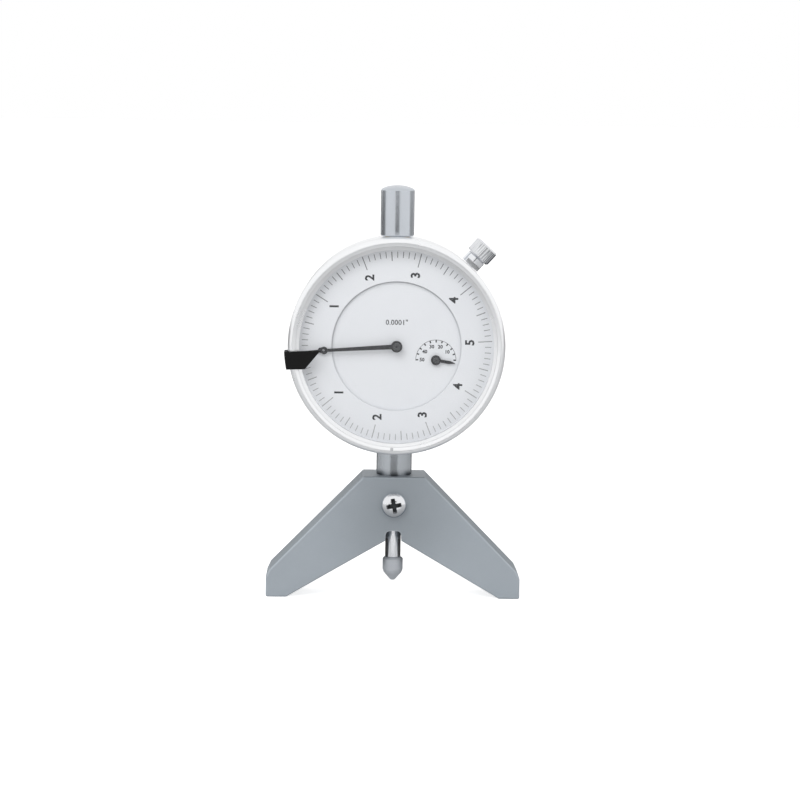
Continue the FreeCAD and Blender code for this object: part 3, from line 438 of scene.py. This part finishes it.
def makeRingPrint(size):
    where = onDial(0, 0, size["front"] - size["deep"] / 2)
    shape = bmesh.new()
    for mark in range(size["marks"]):
        inner, outer, wide = size["short"], size["outer"], size["thin"]
        if mark % 5 == 0:
            inner, wide = size["middle"], size["thick"]
        if mark % 10 == 0:
            inner, outer = size["long"], size["longOuter"]
        tick(shape, inner, outer, wide, size["deep"], where, size["zero"] - 360 / size["marks"] * mark)
    toPiece("dial_graduations", shape, "bezel_group", "dial_white", "tickPrinting")
    words = []
    for step, number in enumerate(size["numbers"]):
        spot = onCircle(size["numeralRadius"], size["zero"] - 360 / len(size["numbers"]) * step)
        words.append((str(number), spot @ around(size["numeralTurn"])))
    shape = lettering(words, size["numeralHeight"], size["deep"], where, size["bold"])
    toPiece("dial_numerals", shape, "bezel_group", "dial_white", "printing")


makeRingPrint(ringPrint)

valuePrint = {"text": "0.0001\"", "front": -11.9, "deep": 0.02, "up": 6.2, "height": 1.35, "bold": 0.015}


def makeValuePrint(size):
    # what one division is worth, above the middle of the fixed disc
    where = onDial(0, 0, size["front"] - size["deep"] / 2)
    words = [(size["text"], Matrix.Translation((0, 0, size["up"] / 1000)))]
    shape = lettering(words, size["height"], size["deep"], where, size["bold"])
    toPiece("dial_value", shape, "frame", "dial_white", "printing")


makeValuePrint(valuePrint)

counterAt = (10.413, -3.545)
counterPrint = {"front": -11.9, "deep": 0.02, "ticks": 11, "tickApart": 18,
                "tickInner": 4.65, "tickOuter": 5.35, "tickWide": 0.34,
                "arcRadius": 5.3, "arcWide": 0.1, "arcPieces": 45, "arcOverlap": 1.02,
                "labels": (10, 20, 30, 40, 50), "labelApart": 36, "labelRadius": 3.65,
                "labelHeight": 0.9, "labelBold": 0.045}


def makeCounterPrint(size):
    # half a circle of ticks joined by a thin arc, and a number inside every second one but the first
    where = onDial(*counterAt, size["front"] - size["deep"] / 2)
    shape = bmesh.new()
    for mark in range(size["ticks"]):
        tick(shape, size["tickInner"], size["tickOuter"], size["tickWide"], size["deep"], where,
             size["tickApart"] * mark)
    turn, half = 180 / size["arcPieces"], size["arcWide"] / 2
    chord = size["arcOverlap"] * size["arcRadius"] * math.radians(turn)
    for step in range(size["arcPieces"]):
        tick(shape, size["arcRadius"] - half, size["arcRadius"] + half, chord, size["deep"], where,
             turn * (step + 0.5))
    toPiece("counter_graduations", shape, "frame", "dial_white", "printing")
    words = [(str(label), onCircle(size["labelRadius"], size["labelApart"] * step))
             for step, label in enumerate(size["labels"], 1)]
    shape = lettering(words, size["labelHeight"], size["deep"], where, size["labelBold"])
    toPiece("counter_numerals", shape, "frame", "dial_white", "printing")


makeCounterPrint(counterPrint)
print("dial printed")


def turned(profile, steps):
    # profile is (height, radius) in millimetres from axis to axis, spun about Z
    shape = bmesh.new()
    line = [shape.verts.new((radius / 1000, 0, height / 1000)) for height, radius in profile]
    edges = [shape.edges.new(pair) for pair in zip(line, line[1:])]
    bmesh.ops.spin(shape, geom=line + edges, cent=(0, 0, 0), axis=(0, 0, 1), dvec=(0, 0, 0),
                   angle=2 * math.pi, steps=steps, use_merge=True)
    bmesh.ops.remove_doubles(shape, verts=shape.verts, dist=0.000002)
    # a step along the axis itself leaves only a bare edge
    bmesh.ops.delete(shape, geom=[edge for edge in shape.edges if not edge.link_faces], context="EDGES")
    bmesh.ops.recalc_face_normals(shape, faces=shape.faces)
    return shape


def moved(shape, where):
    bmesh.ops.transform(shape, matrix=where, verts=shape.verts)
    return shape


def carved(shape, cutter):
    # cuts one bmesh out of another
    holders = [toScene("carving", lump) for lump in (shape, cutter)]
    cut = holders[0].modifiers.new("cut", "BOOLEAN")
    cut.object = holders[1]
    cut.solver = "EXACT"
    cut.use_self = True
    seen = holders[0].evaluated_get(bpy.context.evaluated_depsgraph_get())
    result = bmesh.new()
    result.from_mesh(seen.to_mesh())
    for holder in holders:
        bpy.data.objects.remove(holder)
    return result


knobSize = {"direction": 47.5, "back": -3.5, "studTip": 24.7, "stud": 1.0, "seat": 31.45, "length": 4.1,
            "radius": 3.4, "edge": 0.4, "lip": 0.1, "grooves": 30, "grooveDeep": 0.11, "grooveEnd": 0.15,
            "dish": 2.3, "dishDeep": 0.25}


def makeKnob(size):
    # round grip on its stud, dished at the end and grooved along its side
    seat, top = size["seat"], size["seat"] + size["length"]
    wide, edge, end = size["radius"], size["edge"], size["grooveEnd"]
    low, high, dished = seat + edge + end, top - edge - end, top - size["dishDeep"]
    shape = turned([(size["studTip"], 0), (size["studTip"], size["stud"]), (seat, size["stud"]),
                    (seat, wide - edge), (seat + edge, wide), (low, wide), (high, wide), (top - edge, wide),
                    (top - size["lip"], wide - edge), (top, wide - edge - end), (top, size["dish"]),
                    (dished, size["dish"] - size["dishDeep"]), (dished, 0)], 4 * size["grooves"])
    slack = 0.01  # for the rounding of the mesh
    for vert in shape.verts:
        height, reach = vert.co.z * 1000, vert.co.xy.length * 1000
        count = round(math.degrees(math.atan2(vert.co.y, vert.co.x)) / (90 / size["grooves"]))
        if reach > wide - slack and low - slack < height < high + slack and count % 4 == 0:
            vert.co.xy *= 1 - size["grooveDeep"] / wide
    outwards = Matrix.Rotation(math.radians(90 - size["direction"]), 4, "Y")
    moved(shape, onDial(0, 0, size["back"]) @ outwards)
    knob = toPiece("clamp_knob_grip", shape, "knob_group", "bright_steel", "knobSteel", sharp=25)
    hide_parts("clamp_knob")


makeKnob(knobSize)

screwSize = {"head": 2.35, "radius": 3.45, "rim": 0.5, "edge": 0.15, "fullness": 0.8, "shank": 2.0,
             "shankIn": 1.55, "crossTop": (5.0, 1.2), "crossFoot": (2.25, 0.84), "crossDeep": 1.5,
             "crossClear": 0.4, "turn": 11}


def makeScrew(size):
    # pan head: a short straight rim, a rounded shoulder and a shallow crown, with a crossed recess
    rise = size["head"] - size["rim"]
    crown = [(size["rim"] + rise * math.sin(math.radians(a)),
              size["radius"] * math.cos(math.radians(a)) ** size["fullness"])
             for a in (0, 12, 24, 36, 48, 60, 72, 82)]
    shape = turned([(-size["shankIn"], 0), (-size["shankIn"], size["shank"]), (0, size["shank"]),
                    (0, size["radius"] - size["edge"]), (size["edge"], size["radius"])]
                   + crown + [(size["head"], 0)], 72)
    cross = bmesh.new()
    for turn in (size["turn"], size["turn"] + 90):
        arm = bmesh.ops.create_cube(cross, size=1.0)["verts"]
        for vert in arm:
            foot = vert.co.z < 0
            reach, wide = size["crossFoot"] if foot else size["crossTop"]
            vert.co.x *= reach / 1000
            vert.co.y *= wide / 1000
            vert.co.z = (size["head"] + (-size["crossDeep"] if foot else size["crossClear"])) / 1000
        bmesh.ops.rotate(cross, verts=arm, cent=(0, 0, 0), matrix=Matrix.Rotation(math.radians(turn), 3, "Z"))
    shape = moved(carved(shape, cross), Matrix.Translation(screwSeat) @ toFront)
    screw = toPiece("clamp_screw_head", shape, "frame", "plated", "screwChrome", sharp=32)
    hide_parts("base_clamp_screw")


makeScrew(screwSize)

capSize = {"low": 97.22, "top": 110.8, "radius": 4.475, "bore": 3.22, "wall": 1.2, "edge": 0.3, "band": 0.1,
           "crown": 1.05, "fullness": 2.3, "rimIn": 0.06}


def makeCap(size):
    # plain tube closed by a low dome
    low, wide, edge, band = size["low"], size["radius"], size["edge"], size["band"]
    rim, inside = size["top"] - size["crown"], size["top"] - size["wall"]
    dome = [(size["top"] - size["crown"] * share ** size["fullness"], share * wide)
            for share in (0.95, 0.85, 0.7, 0.55, 0.4, 0.2, 0)]
    shape = turned([(low, size["bore"]), (low, wide - edge), (low + edge, wide), (low + edge + band, wide),
                    (rim - edge - band, wide), (rim - edge, wide), (rim - band, wide - size["rimIn"])]
                   + dome + [(inside, 0), (inside, size["bore"]), (low, size["bore"])], 64)
    cap = toPiece("dust_cap_domed", shape, nodes["dust_cap"]["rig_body"], "plated")
    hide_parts("dust_cap")


makeCap(capSize)

bezelSize = {"back": 8.05, "backEdge": 0.2, "rimRadius": 28.425, "rimFront": 9.6, "step": 0.1, "radius": 28.575,
             "groove": 11.4, "grooveWide": 0.6, "grooveDeep": 0.45, "shoulder": 14.1, "crest": 15.9,
             "crestRadius": 27.35, "crestEdge": (0.05, 0.2), "coneFoot": 15.4, "bore": 26.45,
             "glassBack": 14.2, "opening": 25.6, "ringFront": 12.6}


def makeBezel(size):
    # rounded outer shoulder, narrow crest and a cone that falls in towards the glass
    back, wide, bore, opening = size["back"], size["radius"], size["bore"], size["opening"]
    rim, crest, crestRadius = size["rimRadius"], size["crest"], size["crestRadius"]
    rise, run = crest - size["shoulder"], wide - crestRadius
    shoulder = [(size["shoulder"] + rise * math.sin(math.radians(a)),
                 crestRadius + run * math.cos(math.radians(a))) for a in range(0, 91, 10)]
    floor, end = wide - size["grooveDeep"], size["groove"] + size["grooveWide"]
    outside = [(back, bore), (back, rim - size["backEdge"]), (back + size["backEdge"], rim),
               (size["rimFront"], rim), (size["rimFront"] + size["step"], wide), (size["groove"], wide),
               (size["groove"], floor), (end, floor), (end, wide)]
    inside = [(crest - size["crestEdge"][0], crestRadius - size["crestEdge"][1]), (size["coneFoot"], bore),
              (size["glassBack"], bore), (size["glassBack"], opening), (size["ringFront"], opening),
              (size["ringFront"], bore), (back, bore)]
    shape = moved(turned(outside + shoulder + inside, 144), onDial(0, 0) @ toFront)
    bezel = toPiece("bezel_coned", shape, "bezel_group", "body_metal", sharp=24)
    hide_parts("bezel")


makeBezel(bezelSize)

glassRingSize = {"outer": 26.4, "inner": 25.55, "back": 15.01, "high": 15.34, "low": 15.08}


def makeGlassRing(size):
    # the ring that holds the crystal, its front carrying the bezel's cone inwards
    shape = turned([(size["back"], size["inner"]), (size["back"], size["outer"]), (size["high"], size["outer"]),
                    (size["low"], size["inner"]), (size["back"], size["inner"])], 144)
    moved(shape, onDial(0, 0) @ toFront)
    ring = toPiece("crystal_ring_coned", shape, "bezel_group", "plated", "body_metal", sharp=24)
    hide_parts("crystal_ring")


makeGlassRing(glassRingSize)

hubs = {"main_hand": {"at": (0, 0), "front": -13.81, "radius": 1.05, "thick": 0.2, "pin": 0.36},
        "counter_hand": {"at": counterAt, "front": -12.8, "radius": 0.8, "thick": 0.16, "pin": 0.3}}
hubEdges = {"side": 0.03, "front": 0.2, "sink": 0.06, "gap": 0.02, "pin": 0.12, "lift": 0.005}


def makeHubs(sizes, edge):
    # a small cap pressed on each hand's hub, and the end of the arbor in its middle, black as painted shade in
    # the hub's centre
    for hand, size in sizes.items():
        wide, thick, pin = size["radius"], size["thick"], size["pin"]
        cap = turned([(0, pin), (0, wide), (0.5 * thick, wide - edge["side"]), (thick, wide - edge["front"]),
                      (thick, pin + edge["sink"]), (0.8 * thick, pin), (0, pin)], 40)
        end = turned([(0, 0), (0, pin - edge["gap"]), (0.9 * thick, pin - edge["gap"]),
                      (1.2 * thick, pin - edge["pin"]), (1.3 * thick, 0)], 24)
        where = onDial(*size["at"], size["front"] - edge["lift"]) @ toFront
        toPiece(hand + "_cap", moved(cap, where), nodes[hand]["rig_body"], "spring_steel", "hubGrey")
        # painted shade: the arbor's end is black for the dark spot in the middle of the hub
        toPiece(hand + "_arbor_end", moved(end, where), nodes[hand]["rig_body"], "spring_steel", "hand_black")


makeHubs(hubs, hubEdges)

indexSize = {"direction": 268.0, "radius": 26.95, "front": 15.74, "slope": 32.7,
             "long": 0.85, "wide": 0.75, "deep": 0.03}


def makeIndexMark(size):
    # a small grey mark on the bezel's cone
    shape = bmesh.new()
    seat = (onDial(0, 0) @ around(size["direction"])
            @ Matrix.Translation((size["radius"] / 1000, -size["front"] / 1000, 0))
            @ Matrix.Rotation(math.radians(-size["slope"]), 4, "Z"))
    stretch = Matrix.Diagonal((size["long"] / 1000, size["deep"] / 1000, size["wide"] / 1000, 1))
    bmesh.ops.create_cube(shape, size=1.0, matrix=seat @ stretch)
    toPiece("bezel_index", shape, "bezel_group", "body_metal", "indexGrey")


makeIndexMark(indexSize)
print("turned pieces made")

shot = {"distance": 0.6, "elevation": 7.66, "azimuth": -1.13, "roll": 0.84, "target": (0.001357, 0, 0.0531),
        "lens": 100.2, "sensor": 36, "nearest": 0.01}


def makeCamera(size):
    up, side = math.radians(size["elevation"]), math.radians(size["azimuth"])
    back = Vector((math.sin(side) * math.cos(up), -math.cos(side) * math.cos(up), math.sin(up)))
    right = (-back).cross(Vector((0, 0, 1))).normalized()
    tilted = Matrix.Rotation(math.radians(size["roll"]), 3, back) @ right
    camera = bpy.data.objects.new("camera", bpy.data.cameras.new("camera"))
    bpy.context.scene.collection.objects.link(camera)
    camera.data.lens = size["lens"]
    camera.data.sensor_width = size["sensor"]
    camera.data.clip_start = size["nearest"]
    turn = Matrix((tilted, back.cross(tilted), back)).transposed().to_4x4()
    camera.matrix_world = Matrix.Translation(Vector(size["target"]) + size["distance"] * back) @ turn
    bpy.context.scene.camera = camera


# where each lamp stands, its width and height, and its power
lamps = {"lampAbove": ((-0.2, -0.5, 0.56), (0.5, 0.5), 2.5),
         "lampLeft": ((-0.6, -0.4, 0.35), (0.5, 0.5), 0.5),
         "lampRight": ((0.6, -0.4, 0.35), (0.5, 0.5), 0.5)}
lampTarget = (0, 0, 0.06)


def makeLamps(sizes):
    for name, (spot, size, power) in sizes.items():
        lamp = bpy.data.lights.new(name, "AREA")
        lamp.shape = "RECTANGLE"
        lamp.size, lamp.size_y = size
        lamp.energy = power
        holder = bpy.data.objects.new(name, lamp)
        bpy.context.scene.collection.objects.link(holder)
        holder.location = spot
        holder.rotation_euler = (Vector(lampTarget) - Vector(spot)).to_track_quat("-Z", "Y").to_euler()
        holder.visible_camera = False
        holder.visible_glossy = False


def seenBy(wire, share=1.0):
    # 1 for rays from camera and glass, share for rays from metal
    camera, glossy, glass = [wire.node("ShaderNodeLightPath", out=name)
                             for name in ("Is Camera Ray", "Is Glossy Ray", "Is Transmission Ray")]
    return wire.maths("MAXIMUM", camera, wire.maths("MAXIMUM", glossy * share, glass))


roomLight = 0.57


def makeRoom(light):
    # the world is soft grey light, and white where camera, metal or glass sees it
    world = bpy.data.worlds.new("studio")
    bpy.context.scene.world = world
    world.use_nodes = True
    tree = world.node_tree
    back = next(n for n in tree.nodes if n.type == "BACKGROUND")
    back.inputs["Color"].default_value = (1, 1, 1, 1)
    strength = light + (1 - light) * seenBy(Wire(tree))
    tree.links.new(strength.socket, back.inputs["Strength"])


floorLook = {"half": 12, "dark": (0.78, 0.78, 0.78, 1), "pale": (0.8, 0.8, 0.8, 1), "rough": 0.9, "lift": 0.72,
             "inMetal": (0.66, 0.665, 0.67, 1), "blendRange": (0.45, 1.6)}


def floorPaint(wire, size=floorLook):
    # lifted to white where camera or glass sees it, and still darkened by the shadow;
    # metal sees it grey near the gauge
    away = length(place(wire)).step(*size["blendRange"])
    near = wire.node("ShaderNodeLightPath", out="Is Glossy Ray") * (1 - away)
    pale = noise(wire, place(wire), 3.0).mixed(size["dark"], size["pale"])
    return {"Base Color": near.mixed(pale, size["inMetal"]),
            "Emission Color": seenBy(wire, away).mixed((0, 0, 0, 1), (1, 1, 1, 1))}


def makeFloor(size):
    shape = bmesh.new()
    bmesh.ops.create_grid(shape, x_segments=1, y_segments=1, size=size["half"])
    floor = toScene("floor", shape)
    fixed = {"Roughness": size["rough"], "Emission Strength": size["lift"]}
    floor.data.materials.append(finish("floorWhite", fixed, floorPaint))


# where each card stands, its width, the heights of its foot and top, and its finish
cards = {"card_back": ((0, 0.55), 0.8, (0, 0.105), "cardDark"),
         "card_left": ((-0.55, 0.25), 0.5, (0, 0.105), "cardDark"),
         "card_right": ((0.55, 0.25), 0.5, (0, 0.105), "cardGrey"),
         "card_low_back": ((0, 0.15), 0.24, (0, 0.034), "marker_black"),
         "card_spindle_back": ((0, 0.045), 0.08, (0, 0.012), "marker_black"),
         "card_spindle_left": ((-0.003, 0), 0.0044, (0.0085, 0.018), "cardDark"),
         "card_spindle_right": ((0.003, 0), 0.0044, (0.0085, 0.018), "cardDark"),
         "card_low_front": ((-0.005, -0.15), 0.13, (0, 0.022), "marker_black"),
         "card_high_front": ((-0.01, -0.32), 0.16, (0.055, 0.1), "marker_black"),
         "card_spindle": ((0, -0.06), 0.07, (0, 0.008), "cardWhite")}


def makeCards(sizes):
    # upright cards round the gauge that face it and are seen only in its metal
    for name, (stand, wide, (foot, top), paint) in sizes.items():
        shape = bmesh.new()
        bmesh.ops.create_grid(shape, x_segments=1, y_segments=1, size=0.5)
        middle = Matrix.Translation((*stand, (foot + top) / 2))
        inwards = Matrix.Rotation(math.atan2(stand[0], -stand[1]), 4, "Z")
        stretch = Matrix.Diagonal((wide, top - foot, 1, 1))
        card = toScene(name, moved(shape, middle @ inwards @ toFront @ stretch))
        card.data.materials.append(finishes[paint])
        card.visible_camera = card.visible_diffuse = card.visible_shadow = card.visible_transmission = False


makeCamera(shot)
makeRoom(roomLight)
makeFloor(floorLook)
makeCards(cards)
makeLamps(lamps)
bpy.context.scene.view_settings.view_transform = "Standard"
print("studio ready")
